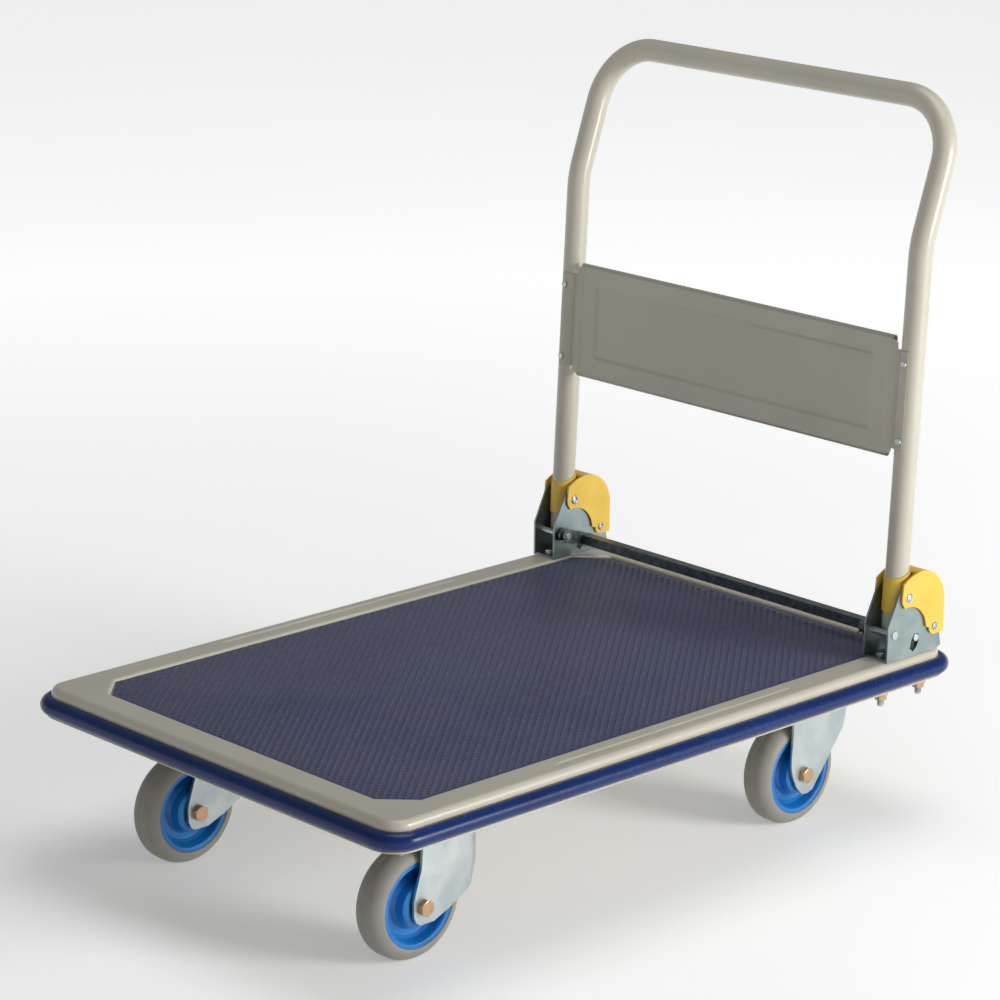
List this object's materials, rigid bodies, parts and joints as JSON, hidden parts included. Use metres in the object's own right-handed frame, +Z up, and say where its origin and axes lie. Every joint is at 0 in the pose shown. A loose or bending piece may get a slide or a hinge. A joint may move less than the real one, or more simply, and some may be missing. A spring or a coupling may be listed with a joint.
{
  "type": "platform trolley",
  "caption": "Flat-bed platform trolley with a folding push handle, ribbed mat, bumper edge, fixed front casters and swivel rear casters.",
  "frame": {"origin": "centre of the overall box, on the floor", "axes": "+X along the deck towards the handle, +Y across the deck to the user's right, +Z up"},
  "size_m": [0.91, 0.62, 0.87],
  "materials": {
    "beige_paint": "smooth satin enamel",
    "mat_rubber": "matt studded rubber mat",
    "navy_bumper": "glossy soft vinyl",
    "frame_paint": "thin satin enamel over steel",
    "yellow_plastic": "satin moulded plastic",
    "tyre_rubber": "matt grey elastic rubber",
    "blue_plastic": "satin moulded nylon",
    "yellow_zinc": "yellow passivated zinc plate",
    "zinc_plate": "bright zinc plate",
    "spring_steel": "dark oiled steel",
    "bearing_steel": "polished steel"
  },
  "bodies": {
    "root": {"deck_pan": "beige_paint", "deck_mat": "mat_rubber", "bumper": "navy_bumper", "side_rail_left": "frame_paint", "side_rail_right": "frame_paint", "cross_member_front": "frame_paint", "cross_member_rear": "frame_paint", "centre_stiffener": "frame_paint", "hinge_bracket_left": "zinc_plate", "hinge_bracket_right": "zinc_plate", "bracket_bolts": "zinc_plate", "bracket_washers": "yellow_zinc", "bracket_nuts": "yellow_zinc", "stop_pins": "zinc_plate", "stop_pin_clips": "spring_steel", "return_springs": "spring_steel", "fixed_fork_left": "zinc_plate", "fixed_fork_right": "zinc_plate", "front_caster_bolts": "zinc_plate", "front_caster_nuts": "zinc_plate", "front_axle_bolts": "yellow_zinc", "front_axle_nuts": "yellow_zinc", "front_axle_sleeves": "spring_steel", "swivel_plate_left": "zinc_plate", "swivel_plate_right": "zinc_plate", "kingpins": "spring_steel", "kingpin_nuts": "zinc_plate", "rear_caster_bolts": "zinc_plate", "rear_caster_nuts": "zinc_plate"},
    "handle": {"handle_tube": "beige_paint", "handle_panel": "beige_paint", "panel_screws": "zinc_plate", "hinge_cover_left": "yellow_plastic", "hinge_cover_right": "yellow_plastic", "pivot_rivets": "zinc_plate", "cover_rivets": "zinc_plate"},
    "release_bar": {"release_bar": "zinc_plate", "latch_rods": "zinc_plate"},
    "swivel_left": {"swivel_fork_left": "zinc_plate", "swivel_balls_left": "bearing_steel", "rear_axle_bolt_left": "yellow_zinc", "rear_axle_nut_left": "yellow_zinc", "rear_axle_sleeve_left": "spring_steel"},
    "swivel_right": {"swivel_fork_right": "zinc_plate", "swivel_balls_right": "bearing_steel", "rear_axle_bolt_right": "yellow_zinc", "rear_axle_nut_right": "yellow_zinc", "rear_axle_sleeve_right": "spring_steel"},
    "wheel_front_left": {"tyre_front_left": "tyre_rubber", "rim_front_left": "blue_plastic", "bearings_front_left": "bearing_steel"},
    "wheel_front_right": {"tyre_front_right": "tyre_rubber", "rim_front_right": "blue_plastic", "bearings_front_right": "bearing_steel"},
    "wheel_rear_left": {"tyre_rear_left": "tyre_rubber", "rim_rear_left": "blue_plastic", "bearings_rear_left": "bearing_steel"},
    "wheel_rear_right": {"tyre_rear_right": "tyre_rubber", "rim_rear_right": "blue_plastic", "bearings_rear_right": "bearing_steel"}
  },
  "joints": [
    {"name": "handle_fold", "type": "hinge", "parent": "root", "child": "handle", "pos_m": [0.367, 0, 0.285], "axis": [0, -1, 0], "range_deg": [0, 92.6]},
    {"name": "release_bar_press", "type": "hinge", "parent": "root", "child": "release_bar", "pos_m": [0.3465, 0, 0.243], "axis": [0, 1, 0], "range_deg": [0, 16], "stiffness_Nm_per_rad": 1.5, "springref_deg": -17.19, "deforming": ["return_springs"]},
    {"name": "swivel_turn_left", "type": "hinge", "parent": "root", "child": "swivel_left", "pos_m": [0.316, -0.19, 0.155], "axis": [0, 0, 1], "continuous": true},
    {"name": "swivel_turn_right", "type": "hinge", "parent": "root", "child": "swivel_right", "pos_m": [0.316, 0.19, 0.155], "axis": [0, 0, 1], "continuous": true},
    {"name": "wheel_spin_front_left", "type": "hinge", "parent": "root", "child": "wheel_front_left", "pos_m": [-0.324, -0.19, 0.065], "axis": [0, 1, 0], "continuous": true},
    {"name": "wheel_spin_front_right", "type": "hinge", "parent": "root", "child": "wheel_front_right", "pos_m": [-0.324, 0.19, 0.065], "axis": [0, 1, 0], "continuous": true},
    {"name": "wheel_spin_rear_left", "type": "hinge", "parent": "swivel_left", "child": "wheel_rear_left", "pos_m": [0.286, -0.19, 0.065], "axis": [0, 1, 0], "continuous": true},
    {"name": "wheel_spin_rear_right", "type": "hinge", "parent": "swivel_right", "child": "wheel_rear_right", "pos_m": [0.286, 0.19, 0.065], "axis": [0, 1, 0], "continuous": true}
  ]
}
